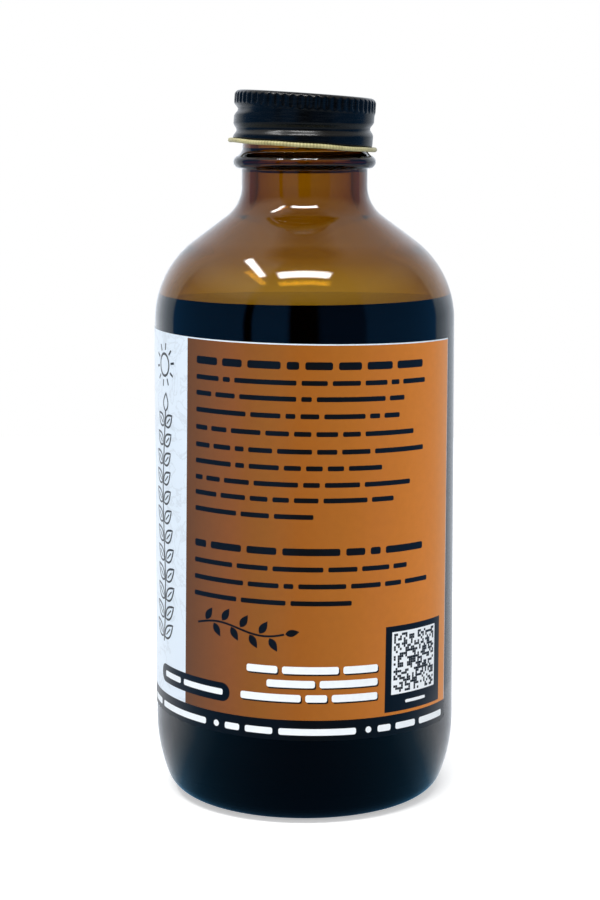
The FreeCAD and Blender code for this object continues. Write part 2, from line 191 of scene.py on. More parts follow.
room = bpy.data.worlds.new("room")
room.use_nodes = True
room.cycles.sampling_method = "NONE"
scene.world = room
tree = room.node_tree
tree.nodes.clear()
way = add_node(tree, "ShaderNodeTexCoord").outputs["Generated"]
split = add_node(tree, "ShaderNodeSeparateXYZ", (way,)).outputs
turn = calc(tree, "ARCTAN2", split["X"], calc(tree, "MULTIPLY", split["Y"], -1.0))
turn = spread(tree, turn, -math.pi, math.pi)
walls = all_round(tree, turn, LEFT_BACK + FRONT + LOW_RIGHT_BACK)
for low, high, tint in ((0.0, 0.16, all_round(tree, turn, LEFT_BACK + FRONT + RIGHT_BACK)),
                        (0.4, 0.65, all_round(tree, turn, HIGH_UP)),
                        (0.93, 0.985, colour("#5C646C")), (-0.32, -0.42, colour("#8E99A3"))):
    walls = mixed(tree, spread(tree, split["Z"], low, high), walls, tint)
height = spread(tree, split["Z"], 0.0, 0.8, 1.3, 1.0)
pale_walls = all_round(tree, turn, LEFT_BACK + [(-60, PAPER), (60, PAPER)] + RIGHT_BACK)
even, glints, through, white = (
    add_node(tree, "ShaderNodeBackground", {"Color": tint, "Strength": strength}) for tint, strength in (
        (colour("#F4F7FF"), 0.62), (walls, height), (pale_walls, 1.0), (colour("#FFFFFF"), 1.0)))
add_node(tree, "ShaderNodeOutputWorld", (by_ray(tree, even, glints, through, white),))

# Each tube fades towards its edges: over a tenth of its length and about a third of its width.
ALONG_EDGE, ACROSS_EDGE = 0.1, 0.35
for name, place, (length, width), watts in (
        ("front_tube", (0, -0.404, 0.81), (0.52, 0.18), 8.6),
        ("side_tube", (-0.39, -0.175, 0.81), (0.11, 0.44), 3.9)):
    tube = bpy.data.lights.new(name, "AREA")
    tube.shape, tube.size, tube.size_y, tube.energy = "RECTANGLE", length, width, watts
    tube.use_nodes = True
    tree = tube.node_tree
    tree.nodes.clear()
    spot = add_node(tree, "ShaderNodeNewGeometry").outputs["Parametric"]
    spot = add_node(tree, "ShaderNodeSeparateXYZ", (spot,)).outputs
    level = 1.0
    for axis, longer in (("X", length > width), ("Y", length < width)):
        edge = calc(tree, "PINGPONG", spot[axis], 0.5)
        level = calc(tree, "MULTIPLY", ease(tree, edge, 0.0, ALONG_EDGE if longer else ACROSS_EDGE), level)
    add_node(tree, "ShaderNodeOutputLight", (add_node(tree, "ShaderNodeEmission", {"Strength": level}),))
    lamp = bpy.data.objects.new(name, tube)
    lamp.location = place
    lamp.visible_camera = False
    scene.collection.objects.link(lamp)

# Plain white paper. Mirrored, it shows a painted reflection that glows blue and dim in front and pale behind,
# and ends 0.1 m from the axis; seen through the glass it is a dark grey.
paper, tree = new_material("white_paper_sweep")
matte = add_node(tree, "ShaderNodeBsdfDiffuse", {"Color": colour("#F2F2F0")})
glow = add_node(tree, "ShaderNodeEmission", {"Color": colour("#FFFFFF"), "Strength": 0.45})
bright = add_node(tree, "ShaderNodeAddShader", (matte, glow))
place = own_place(tree)
split = add_node(tree, "ShaderNodeSeparateXYZ", (place,)).outputs
behind = calc(tree, "SINE", calc(tree, "ARCTAN2", split["Y"], split["X"]))
behind = ramp(tree, spread(tree, behind, -1.0, 1.0), (0.0, "#27455F"), (0.22, "#3A6A8C"), (0.36, "#6A98BA"),
              (0.46, "#BFD2E2"), (0.58, PAPER), (1.0, PAPER))
# painted reflection: this glow stands in for what the bottle mirrors of the floor
mirrored = add_node(tree, "ShaderNodeEmission", {"Color": behind, "Strength": 1.0})
away = add_node(tree, "ShaderNodeVectorMath", (place,), operation="LENGTH").outputs["Value"]
far = spread(tree, away, 95 * MM, 105 * MM)
mirrored = add_node(tree, "ShaderNodeMixShader", (far, mirrored, add_node(tree, "ShaderNodeBsdfTransparent")))
refracted = add_node(tree, "ShaderNodeBsdfDiffuse", {"Color": colour("#2A3036")})
add_node(tree, "ShaderNodeOutputMaterial", {"Surface": by_ray(tree, matte, mirrored, refracted, bright)})
reach, floor_height = 0.5, cad_box[0].z - 0.1 * MM
floor_mesh = bpy.data.meshes.new("floor")
floor_mesh.from_pydata([(-reach, -reach, floor_height), (reach, -reach, floor_height),
                        (reach, reach, floor_height), (-reach, reach, floor_height)], [], [(0, 1, 2, 3)])
floor_mesh.materials.append(paper)
floor = bpy.data.objects.new("floor", floor_mesh)
scene.collection.objects.link(floor)


# ---------------------------------------------------------------- the glass
# One piece of amber glass, blown in a mould and fire polished: foot ring, round heel, straight wall,
# round shoulder, short neck, transfer ring and a 28 mm threaded finish. It carries everything else.

def arc(middle, radius, first, last, steps):
    """Points of an arc round (x, z), in millimetres, from one angle to another in degrees."""
    angles = [math.radians(first + (last - first) * step / steps) for step in range(steps + 1)]
    return [(middle[0] + radius * math.cos(a), middle[1] + radius * math.sin(a)) for a in angles]


def run(start, end, steps):
    """Points of a straight run, both ends left out."""
    return [(start[0] + (end[0] - start[0]) * step / steps, start[1] + (end[1] - start[1]) * step / steps)
            for step in range(1, steps)]


def new_piece(name, mesh, material):
    """An object for a new mesh, with a material, in the scene."""
    piece = bpy.data.objects.new(name, mesh)
    mesh.materials.append(material)
    scene.collection.objects.link(piece)
    return piece


def lathe(name, outline, turns, material):
    """A smooth piece turned round Z from an outline in millimetres. Where the outline starts or ends
    on the axis it closes there, and otherwise its end joins its start."""
    shell = bmesh.new()
    rings = []
    for x, z in outline:
        count = 1 if x < 1e-6 else turns
        rings.append([shell.verts.new((x * MM * math.cos(math.tau * step / turns),
                                       x * MM * math.sin(math.tau * step / turns), z * MM))
                      for step in range(count)])
    pairs = list(zip(rings, rings[1:]))
    if outline[0][0] > 1e-6:
        pairs.append((rings[-1], rings[0]))
    for low, high in pairs:
        for step in range(turns):
            following = (step + 1) % turns
            corners = [low[step % len(low)], low[following % len(low)],
                       high[following % len(high)], high[step % len(high)]]
            shell.faces.new(sorted(set(corners), key=corners.index))
    for face in shell.faces:
        face.smooth = True
    bmesh.ops.recalc_face_normals(shell, faces=shell.faces)
    mesh = bpy.data.meshes.new(name)
    shell.to_mesh(mesh)
    shell.free()
    return new_piece(name, mesh, material)


def shape_tree(name, sizes):
    """A Geometry Nodes tree with a geometry, a material and named sizes as inputs."""
    tree = bpy.data.node_groups.new(name, "GeometryNodeTree")
    tree.interface.new_socket("Geometry", in_out="INPUT", socket_type="NodeSocketGeometry")
    tree.interface.new_socket("Material", in_out="INPUT", socket_type="NodeSocketMaterial")
    for size in sizes:
        tree.interface.new_socket(size, in_out="INPUT", socket_type="NodeSocketFloat")
    tree.interface.new_socket("Geometry", in_out="OUTPUT", socket_type="NodeSocketGeometry")
    return tree, add_node(tree, "NodeGroupInput").outputs


def end_tree(tree, given, geometry):
    """Make the result real, give it its material, pass it out and give the tree back."""
    real = add_node(tree, "GeometryNodeRealizeInstances", (geometry,))
    painted = add_node(tree, "GeometryNodeSetMaterial", {"Geometry": real, "Material": given["Material"]})
    add_node(tree, "NodeGroupOutput", (painted,))
    return tree


def round_axis(tree):
    """A point's height, its distance from Z, its way out from Z and its angle round Z in radians."""
    place = add_node(tree, "GeometryNodeInputPosition")
    split = add_node(tree, "ShaderNodeSeparateXYZ", (place,)).outputs
    flat = add_node(tree, "ShaderNodeVectorMath", (place, (1, 1, 0)), operation="MULTIPLY")
    radius = add_node(tree, "ShaderNodeVectorMath", (flat,), operation="LENGTH").outputs["Value"]
    outwards = add_node(tree, "ShaderNodeVectorMath", (flat,), operation="NORMALIZE")
    return split["Z"], radius, outwards, calc(tree, "ARCTAN2", split["Y"], split["X"])


def scaled(tree, vector, by):
    """A vector or a colour made longer or shorter."""
    return add_node(tree, "ShaderNodeVectorMath", {0: vector, "Scale": by}, operation="SCALE")


def pushed(tree, geometry, way, reach):
    """A geometry with its points pushed a reach along a way."""
    offset = scaled(tree, way, reach)
    return add_node(tree, "GeometryNodeSetPosition", {"Geometry": geometry, "Offset": offset})


def kept(tree, geometry, name, value, **settings):
    """A geometry that keeps a named value at its points."""
    inputs = {"Geometry": geometry, "Name": name, "Value": value}
    return add_node(tree, "GeometryNodeStoreNamedAttribute", inputs, **settings)


def shape(piece, tree, material, sizes):
    """Run a tree on a piece once and keep the result as its plain mesh."""
    modifier = piece.modifiers.new(tree.name, "NODES")
    modifier.node_group = tree
    values = dict(sizes, Material=material)
    for item in tree.interface.items_tree:
        if item.in_out == "INPUT" and item.name in values:
            modifier[item.identifier] = values[item.name]
    graph = bpy.context.evaluated_depsgraph_get()
    mesh = bpy.data.meshes.new_from_object(piece.evaluated_get(graph), preserve_all_data_layers=True,
                                           depsgraph=graph)
    piece.modifiers.remove(modifier)
    piece.data = mesh
    mesh.name = piece.name
    return piece


# A thread stands out from a turned surface, or is rolled into it where its height is negative.
tree, given = shape_tree("thread_relief", [
    "Height", "Half width", "Pitch", "Level at zero", "Start angle", "End angle", "Fade angle",
    "Least radius"])
height, radius, outwards, angle = round_axis(tree)
angle = calc(tree, "DEGREES", angle)
before = calc(tree, "SUBTRACT", given["Start angle"], given["Fade angle"])
after = calc(tree, "ADD", given["End angle"], given["Fade angle"])
crest = 0.0
for lap in (-360.0, 0.0, 360.0):
    along = calc(tree, "ADD", angle, lap)
    turns = calc(tree, "DIVIDE", along, 360.0)
    level = calc(tree, "MULTIPLY_ADD", turns, given["Pitch"], given["Level at zero"])
    apart = calc(tree, "ABSOLUTE", calc(tree, "SUBTRACT", height, level))
    crown = ease(tree, apart, given["Half width"], 0.0)
    crown = calc(tree, "MULTIPLY", crown, ease(tree, along, before, given["Start angle"]))
    crown = calc(tree, "MULTIPLY", crown, ease(tree, along, after, given["End angle"]))
    crest = calc(tree, "MAXIMUM", crest, crown)
push = calc(tree, "MULTIPLY", crest, given["Height"])
push = calc(tree, "MULTIPLY", push, calc(tree, "GREATER_THAN", radius, given["Least radius"]))
thread_tree = end_tree(tree, given, pushed(tree, given["Geometry"], outwards, push))

# Amber container glass, IOR 1.52: clear and fire polished, so its colour comes only from the path of
# light inside it, a mid brown through two walls. The mould's chill leaves it very slightly wavy.
amber, tree = new_material("amber_container_glass")
relief = bump(tree, noise(tree, own_place(tree), 9, 1.0), 0.03)
stain = add_node(tree, "ShaderNodeVolumeAbsorption", {"Color": colour("#E5D100"), "Density": 1100.0})
coat(tree, {"Base Color": colour("#FFFFFF"), "Roughness": 0.0, "IOR": 1.52, "Transmission Weight": 1.0,
            "Normal": relief}, stain)

# The body's radius, its wall's thickness, and the radii of the bore, the finish and the neck
body, wall, bore, finish, neck = 30.5, 2.3, 9.5, 12.6, 12.76
# The punt's rise and radius, the inside floor's height and radius, and the bend from floor to wall
punt, dome, floor_top, bowl, bend, bend_top = 2.2, 107.14, 6.8, 125.74, 7, 12
# The heel's two arcs and where they meet, the shoulder, the fillets above it, the ring and the rim
heel_foot, heel, heel_sweep, heel_join, heel_top = 23.2, 5.5, 32.8, -20.93, 15.253
shoulder, shoulder_foot, slope, neck_fillet, neck_foot = 20, 96.758, 53.2, 7.5, 123.80
ring_fillet, ring_foot, ring_middle, ring_round, ring_join = 0.35, 127.3, (13.11, 128.65), 1.35, 65.8
hollow, hollow_top, lip, rim = 1.8, 131.524, 0.8, 140.2
# Inside, the shoulder's slope is steeper, so the glass thickens towards the neck
inner_slope, inner_foot, inner_round, throat_round = 54.0, shoulder_foot + 0.5, 15.6, 9.0
steep = math.radians(inner_slope)
inner_wall, inner_middle = body - wall, body - wall - inner_round
throat_foot = (inner_foot + (inner_round + throat_round) * math.sin(steep)
               + (inner_wall - bore - (inner_round + throat_round) * (1 - math.cos(steep))) / math.tan(steep))
outside = (
    [(0, punt)] + arc((0, punt - dome), dome, 88.3, 78.5, 8)[:-1] + [(21.5, 0.04), (21.75, 0)]
    + run((21.75, 0), (23.0, 0), 3)
    + arc((heel_foot, heel), heel, -90, heel_join, 14)
    + arc((body - heel_sweep, heel_top), heel_sweep, heel_join, 0, 10)[1:]
    + run((body, heel_top), (body, shoulder_foot), 14)
    + arc((body - shoulder, shoulder_foot), shoulder, 0, slope, 22)
    + arc((neck + neck_fillet, neck_foot), neck_fillet, 180 + slope, 180, 14)
    + arc((neck + ring_fillet, ring_foot - ring_fillet), ring_fillet, 180, 90, 4)
    + arc(ring_middle, ring_round, -90, ring_join, 14)[1:]
    + arc((finish + hollow, hollow_top), hollow, 180 + ring_join, 180, 10)[1:]
    + run((finish, hollow_top), (finish, rim - lip), 64)
    + arc((finish - lip, rim - lip), lip, 0, 90, 6)
    + run((finish - lip, rim), (bore + lip, rim), 3))
inside = (
    arc((bore + lip, rim - lip), lip, 90, 180, 6)
    + run((bore, rim - lip), (bore, throat_foot), 10)
    + arc((bore + throat_round, throat_foot), throat_round, 180, 180 + inner_slope, 14)
    + arc((inner_middle, inner_foot), inner_round, inner_slope, 0, 20)
    + run((inner_wall, inner_foot), (inner_wall, bend_top), 14)
    + arc((inner_wall - bend, bend_top), bend, 0, -90, 12)
    + arc((0, floor_top - bowl), bowl, 80.3, 88.5, 8)[1:] + [(0, floor_top)])
glass = lathe("glass_blown_body", outside + inside, 256, amber)
shape(glass, thread_tree, amber, {
    "Height": 0.8 * MM, "Half width": 1.15 * MM, "Pitch": 4.233 * MM, "Level at zero": 138.4 * MM,
    "Start angle": -280.0, "End angle": 20.0, "Fade angle": 14.0, "Least radius": 12 * MM})
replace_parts(glass, "glass_bottle")
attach(glass, "bottle")


# ---------------------------------------------------------------- the contents
# A nearly black syrup that wets the glass up to 101.5 mm. Against the glass it has no gloss of its
# own, because the two bend light almost alike, and its free surface is level and shiny.

syrup, tree = new_material("dark_syrup_against_glass")
coat(tree, {"Base Color": colour("#0A0604"), "Roughness": 0.6, "Specular IOR Level": 0.0})
level, tree = new_material("dark_syrup_free_surface")
coat(tree, {"Base Color": colour("#140A05"), "Roughness": 0.02, "IOR": 1.36})

# It reaches a hair into the glass, so no gap shows, and its surface dips by 0.05 mm off the glass.
wet, fill, dip = 0.03, 101.5, 0.05
edge = inner_middle + math.sqrt((inner_round + wet) ** 2 - (fill - inner_foot) ** 2)
rise = math.degrees(math.asin((fill - inner_foot) / (inner_round + wet)))
contents = lathe("dark_syrup", (
    [(0, floor_top - wet)] + arc((0, floor_top - bowl), bowl - wet, 88.5, 80.3, 8)
    + arc((inner_wall - bend, bend_top), bend + wet, -90, 0, 12)[1:]
    + run((inner_wall + wet, bend_top), (inner_wall + wet, inner_foot), 14)
    + arc((inner_middle, inner_foot), inner_round + wet, 0, rise, 6)
    + [(edge - away, fill - dip * (1 - math.exp(-away / 0.25))) for away in (0.1, 0.2, 0.35, 0.6, 1, 1.6)]
    + [(x, fill - dip) for x in (edge - 4, edge - 8, 10, 0)]),
    256, syrup)
contents.data.materials.append(level)
for face in contents.data.polygons:
    if face.normal.z > 0.3 and face.center.z > (fill - 1) * MM:
        face.material_index = 1
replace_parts(contents, "liquid_fill")
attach(contents, "bottle")


# ---------------------------------------------------------------- the wrap label
# A strip of semi-gloss label paper glued round the straight wall, printed in brown to orange, black
# and white, where painted light lightens the orange towards the right. It was stuck on a little askew, so its
# right hand end lies about 3 mm lower than its left.

tree, given = shape_tree("wrap_on_wall", ["Wall radius", "Lean", "Middle height"])
place = add_node(tree, "GeometryNodeInputPosition")
lift = add_node(tree, "ShaderNodeSeparateXYZ", (place,)).outputs["Z"]
turned = add_node(tree, "ShaderNodeVectorRotate", {"Vector": place, "Angle": given["Lean"]},
                  rotation_type="Z_AXIS")
turned = add_node(tree, "ShaderNodeSeparateXYZ", (turned,)).outputs
angle = calc(tree, "DIVIDE", turned["X"], given["Wall radius"])
out = calc(tree, "ADD", lift, given["Wall radius"])
x = calc(tree, "MULTIPLY", calc(tree, "SINE", angle), out)
y = calc(tree, "MULTIPLY", calc(tree, "MULTIPLY", calc(tree, "COSINE", angle), out), -1.0)
z = calc(tree, "ADD", turned["Y"], given["Middle height"])
flat = kept(tree, given["Geometry"], "printed_at", place, data_type="FLOAT_VECTOR", domain="POINT")
wrap_tree = end_tree(tree, given, add_node(tree, "GeometryNodeSetPosition", {
    "Geometry": flat, "Position": add_node(tree, "ShaderNodeCombineXYZ", (x, y, z))}))


def printed_place(tree):
    """A point's place on the flat label."""
    return add_node(tree, "ShaderNodeAttribute", attribute_name="printed_at").outputs["Vector"]


# Label paper with a smooth semi-gloss coat, and faint grey marbling printed on its white part. The
# print itself is flat ink on that coat, so it shares the paper's gloss.
stock, tree = new_material("semi_gloss_label_paper")
place = printed_place(tree)
drift = noise(tree, place, 9, 5.0, {"Roughness": 0.6, "Distortion": 1.4})
veins = ramp(tree, drift, (0.0, "#E0EBF4"), (0.455, "#E0EBF4"), (0.49, "#D3DDE5"), (0.52, "#E0EBF4"),
             (1.0, "#DEE9F2"))
relief = bump(tree, noise(tree, place, 0.4, 2.0), 0.002)
GLOSS = 0.3
coat(tree, {"Base Color": veins, "Roughness": GLOSS, "Normal": relief})

# The flat label's edges, its thickness, the glue's, and the width and height of what it is cut into
LEFT, RIGHT, LOW, HIGH = -142.06, 35.97, -38.5, 38.5
THICKNESS, GLUE, STRIDE, RISE = 0.08, 0.03, 0.7, 7
on_wall = {"Wall radius": (body + GLUE) * MM, "Lean": math.radians(-1.06), "Middle height": 56.005 * MM}


def printed(name, flat, material):
    """Cut a flat drawing into narrow strips, bend it round the wall and put it on the bottle."""
    strides, rises = math.floor((RIGHT - LEFT) / STRIDE), math.floor((HIGH - LOW) / RISE)
    cuts = [(((LEFT + cut * STRIDE) * MM, 0, 0), (1, 0, 0)) for cut in range(1, strides)]
    cuts += [((0, (LOW + cut * RISE) * MM, 0), (0, 1, 0)) for cut in range(1, rises)]
    for place, way in cuts:
        bmesh.ops.bisect_plane(flat, geom=flat.verts[:] + flat.edges[:] + flat.faces[:], dist=1e-8,
                               plane_co=place, plane_no=way)
    bmesh.ops.triangulate(flat, faces=flat.faces[:])
    mesh = bpy.data.meshes.new(name)
    flat.to_mesh(mesh)
    flat.free()
    piece = shape(new_piece(name, mesh, material), wrap_tree, material, on_wall)
    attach(piece, "bottle")
    return piece


sheet = bmesh.new()
bmesh.ops.create_cube(sheet, size=1.0)
for corner in sheet.verts:
    corner.co = (MM * (RIGHT if corner.co.x > 0 else LEFT), MM * (HIGH if corner.co.y > 0 else LOW),
                 MM * (THICKNESS if corner.co.z > 0 else 0.0))
label = printed("label_paper", sheet, stock)
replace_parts(label, "wrap_label")


# ---------------------------------------------------------------- the print on the label
# Flat inks on the label paper, each in its own thin layer: an orange ground, then black, then white.
# The design is plain: rows of bars where wording would go, a leafy twig under a sun along the white
# strip, a small sprig, a square of mosaic and a band of bars and dots along the foot.

def block(left, low, right, high, rounding=0.0):
    """The corners of a bar, rounded if asked."""
    if rounding <= 0:
        return [(left, low), (right, low), (right, high), (left, high)]
    spots = []
    for x, z, first in ((right - rounding, low + rounding, -90), (right - rounding, high - rounding, 0),
                        (left + rounding, high - rounding, 90), (left + rounding, low + rounding, 180)):
        spots += arc((x, z), rounding, first, first + 90, 5)
    return spots


def line(spots, width, closed=False):
    """A drawn line of even width as a row of four-cornered pieces."""
    count = len(spots)
    sides = []
    for number, (x, z) in enumerate(spots):
        before = spots[number - 1] if closed or number else (x, z)
        after = spots[(number + 1) % count] if closed or number < count - 1 else (x, z)
        along = Vector((after[0] - before[0], after[1] - before[1])).normalized() * width / 2
        sides.append(((x - along.y, z + along.x), (x + along.y, z - along.x)))
    pairs = list(zip(sides, sides[1:] + sides[:1])) if closed else list(zip(sides, sides[1:]))
    return [[first[1], second[1], second[0], first[0]] for first, second in pairs]


def words(left, middle, height, widths, gap):
    """A row of bars that stands for a line of wording."""
    row = []
    for width in widths:
        row.append(block(left, middle - height / 2, left + width, middle + height / 2, height * 0.3))
        left += width + gap
    return row


def layer(name, height, shapes, material):
    """One ink: its shapes, laid flat at a height above the label's back and printed."""
    flat = bmesh.new()
    for corners in shapes:
        flat.faces.new([flat.verts.new((x * MM, z * MM, height * MM)) for x, z in corners])
    bmesh.ops.remove_doubles(flat, verts=flat.verts, dist=1e-7)
    printed(name, flat, material)


def mottled(tree, place, tint):
    """A tint as ink lies on paper, up to a fortieth thinner and thicker in patches of 1.5 mm."""
    return scaled(tree, tint, spread(tree, noise(tree, place, 1.5, 3.0), 0.3, 0.7, 0.975, 1.025))


def ink(name, base):
    """A plain ink of one colour."""
    material, tree = new_material(name)
    coat(tree, {"Base Color": mottled(tree, printed_place(tree), colour(base)[:3]), "Roughness": GLOSS})
    return material


# The ground is orange print, brown by the white strip and a light orange at the label's right hand end; its
# lightening towards the right is painted light, as if more light fell from that side.
ground, tree = new_material("orange_ink_with_painted_light")
place = printed_place(tree)
along = add_node(tree, "ShaderNodeSeparateXYZ", (place,)).outputs["X"]
share = spread(tree, along, LEFT * MM, RIGHT * MM)
tints_with_painted_light = ((-142, "#C8762E"), (-110, "#A8641E"), (-48, "#8C520F"), (-27, "#643F20"), (-20, "#774722"),
         (-15, "#834B1E"), (-8, "#8C520F"), (-1, "#99560C"), (7, "#A45F11"), (15.5, "#B5691A"),
         (20, "#BF701C"), (28, "#D37E27"), (36, "#DC8830"))
# painted light: these tints grow lighter towards the right hand end, where more light falls
tint = ramp(tree, share, *[((spot - LEFT) / (RIGHT - LEFT), code) for spot, code in tints_with_painted_light])
coat(tree, {"Base Color": mottled(tree, place, tint), "Roughness": GLOSS, "IOR": 1.42})
black_ink = ink("black_printing_ink", "#08090A")
white_ink = ink("white_printing_ink", "#EDF2F4")

# The white strip's two sides, the black band's upper edge, and each ink's height above the label's back
STRIP_LEFT, STRIP_RIGHT, BAND = -47.5, -26.3, -34.5
GROUND_AT, BLACK_AT, WHITE_AT, OVER_AT = 0.09, 0.098, 0.106, 0.112
layer("print_ground", GROUND_AT, [block(STRIP_RIGHT, BAND, RIGHT - 0.15, HIGH - 0.25),
                                  block(LEFT + 0.15, BAND, STRIP_LEFT, HIGH - 0.25)], ground)

# the band, the pill and the mosaic's square, and rows of bars: a larger one over the small ones, twice
dark = [block(LEFT, LOW, RIGHT, BAND), block(-36.3, -32.2, -14.6, -28.5, 1.8),
        block(16.9, -33.9, 33.0, -16.9)]
pale = []
TEXT_LEFT, SMALL, SMALL_GAP, LARGE_GAP = -23.6, 0.95, 0.95, 1.15
rows = ((34.3, 1.5, (5.2, 4.3, 6.6, 2.4, 5.3, 4.6, 5.6, 6.9)),
        (31.0, SMALL, (5.6, 1.6, 12.4, 5.0, 5.6, 4.8, 1.9, 6.2)),
        (27.9, SMALL, (3.9, 4.4, 11.3, 2.0, 14.0, 3.6)),
        (24.6, SMALL, (11.6, 6.0, 1.9, 3.6, 8.2, 2.2, 3.6)),
        (21.2, SMALL, (3.0, 3.6, 6.2, 4.6, 3.3, 4.2, 3.6, 11.4)),
        (17.8, SMALL, (3.6, 3.9, 1.9, 4.8, 6.7, 3.9, 5.8, 12.2)),
        (14.6, SMALL, (8.6, 1.9, 6.0, 3.3, 3.2, 3.2, 7.0)),
        (11.4, SMALL, (1.9, 3.3, 5.4, 8.7, 3.2, 7.0, 10.6)),
        (8.4, SMALL, (5.4, 5.4, 3.6, 3.2, 4.7, 8.8, 4.9)),
        (5.2, SMALL, (9.9, 5.8, 7.6)),
        (-1.6, 1.4, (3.0, 6.9, 6.0, 11.2, 3.9, 2.2, 9.6)),
        (-5.0, SMALL, (9.2, 6.4, 9.8, 5.8, 6.0, 3.4)),
        (-8.3, SMALL, (11.6, 6.2, 1.9, 9.3, 6.3, 3.9, 6.4)),
        (-11.6, SMALL, (10.2, 9.0, 11.9)))
for middle, size, widths in rows:
    dark += words(TEXT_LEFT, middle, size, widths, SMALL_GAP if size == SMALL else LARGE_GAP)


def leaf(foot, angle, length, width, steps=7):
    """The outline of a pointed leaf that grows from its foot at an angle in degrees."""
    way = Vector((math.cos(math.radians(angle)), math.sin(math.radians(angle))))
    side = Vector((-way.y, way.x))
    spots = []
    for step in range(2 * steps):
        share = step / steps if step <= steps else 2 - step / steps
        out = width / 2 * math.sin(math.pi * share ** 0.8) * (1 if step <= steps else -1)
        spot = Vector(foot) + way * length * share + side * out
        spots.append((spot.x, spot.y))
    return spots[::-1]


def stem(step):
    """A point of the sprig's wavy stem, in steps of two millimetres."""
    return -22.6 + 2.0 * step, -17.4 + 0.9 * math.sin(step * 0.62)


# a sprig under the wording
dark += line([stem(step / 2) for step in range(20)], 0.4)
for step in range(1, 9):
    side = 1 if step % 2 else -1
    foot = Vector(stem(step)) + Vector((0.1, side * 0.35))
    dark.append(leaf(foot, side * 58, 3.0, 1.5))
dark.append(leaf(stem(9.6), 12, 2.8, 1.4))

# three right hand rows of white bars, each with its shadow
for middle, widths in ((-24.7, (6.2, 11.0, 7.2)), (-27.4, (9.4, 11.8)), (-30.2, (12.0, 4.2, 9.4))):
    left = 15.2 - sum(widths) - 0.9 * (len(widths) - 1)
    dark += words(left + 0.25, middle - 0.3, 1.45, widths, 0.9)
    pale += words(left, middle, 1.45, widths, 0.9)

# the strip's line drawing: a tall twig with pairs of leaves, under a sun
STRIP_MIDDLE = -35.4
twig = [(STRIP_MIDDLE + 0.7 * math.sin(0.6 * step), -24.0 + 3.9 * step) for step in range(13)]
dark += line(twig, 0.5)
for step, (x, z) in enumerate(twig[:-1]):
    for angle in (38, 142):
        way = Vector((math.cos(math.radians(angle)), math.sin(math.radians(angle))))
        foot, length = Vector((x, z + 0.6)) + way * 0.6, 4.8 - 0.1 * step
        dark += line(leaf(foot, angle, length, 2.3, 9), 0.42, closed=True)
        dark += line([tuple(foot + way * length * share) for share in (0.2, 0.7)], 0.32)
dark += line(leaf(twig[-1], 86, 3.6, 2.3, 9), 0.42, closed=True)
sun = (STRIP_MIDDLE, 32.0)
dark += line(arc(sun, 2.2, 0, 348, 29), 0.5, closed=True)
for ray in range(10):
    a = math.tau * (ray + 0.25) / 10
    dark += line([(sun[0] + reach * math.cos(a), sun[1] + reach * math.sin(a)) for reach in (3.0, 4.4)], 0.45)

# the front of the label, which faces away here: a white disc with a ring and a drop, over three bars
centre = -95.0
drop = [(4.6 * math.sin(a) * math.sin(a / 2) ** 1.3, 5.6 * math.cos(a))
        for a in (math.tau * step / 32 for step in range(32))]
pale.append(arc((centre, 8.0), 19.0, 0, 354, 59))
over = line(arc((centre, 8.0), 17.6, 0, 354, 59), 0.5, closed=True)
over += line([(centre + 1.6 * x, 5.5 + 1.9 * z) for x, z in drop], 0.9, closed=True)
over += line([(centre + x, 3.5 + 1.2 * z) for x, z in drop[9:16]], 0.8)
for number, width in enumerate((30, 44, 24)):
    low = -18.5 - 4.4 * number
    pale.append(block(centre - width / 2, low, centre + width / 2, low + 2.1, 0.6))

# white bars in the pill and the band, dots between them, and the mosaic's square
pale += words(-34.3, -30.35, 1.2, (6.4, 10.6), 1.1)
for dot in range(6):
    middle = 13.4 - 31.0 * dot
    pale.append(arc((middle, -36.75), 0.62, 0, 345, 23))
    pale += words(middle + 2.0, -36.8, 1.3, (3.0, 5.2, 8.4) if dot == 0 else (3.2, 5.6, 15.2), 1.2)
pale.append(block(18.4, -30.5, 31.0, -18.1))
pale.append(block(22.0, -32.5, 27.8, -31.9, 0.25))

layer("print_black", BLACK_AT, dark, black_ink)
layer("print_white", WHITE_AT, pale, white_ink)
layer("print_black_on_white", OVER_AT, over, black_ink)

# A random half of a square grid's cells is black.
tree, given = shape_tree("mosaic", ["Side", "Cell", "Across", "Up", "Depth"])
cells = calc(tree, "DIVIDE", given["Side"], given["Cell"])
spots = add_node(tree, "GeometryNodeMeshGrid", {
    "Size X": given["Side"], "Size Y": given["Side"], "Vertices X": cells, "Vertices Y": cells})
chosen = add_node(tree, "FunctionNodeRandomValue", {"Probability": 0.5, "Seed": 7}, data_type="BOOLEAN")
tile = add_node(tree, "GeometryNodeMeshGrid", {
    "Size X": given["Cell"], "Size Y": given["Cell"], "Vertices X": 2, "Vertices Y": 2})
tiles = add_node(tree, "GeometryNodeInstanceOnPoints", {
    "Points": spots, "Selection": chosen.outputs[3], "Instance": tile})
place = add_node(tree, "ShaderNodeCombineXYZ", (given["Across"], given["Up"], given["Depth"]))
laid = add_node(tree, "GeometryNodeTransform", {"Geometry": tiles, "Translation": place})
mosaic_tree = end_tree(tree, given, laid)
tiles = new_piece("print_mosaic", bpy.data.meshes.new("print_mosaic"), black_ink)
shape(tiles, mosaic_tree, black_ink, {"Side": 11.2 * MM, "Cell": 0.466 * MM, "Across": 24.7 * MM,
                                      "Up": -24.3 * MM, "Depth": OVER_AT * MM})
shape(tiles, wrap_tree, black_ink, on_wall)
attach(tiles, "bottle")


# ---------------------------------------------------------------- the cap
# A one-piece shell drawn from thin tinplate and enamelled black: a knurled band to grip, a thread
# rolled in from outside, and a lower edge curled inwards. It sits askew on the glass thread.

joint = next(j for j in frame["joints"] if j["name"] == "cap_turn")
cap_axis = Vector(joint["axis"]).normalized()
cap_frame = Matrix.Translation(Vector(joint["pos_m"])) @ Vector((0, 0, 1)).rotation_difference(
    cap_axis).to_matrix().to_4x4()

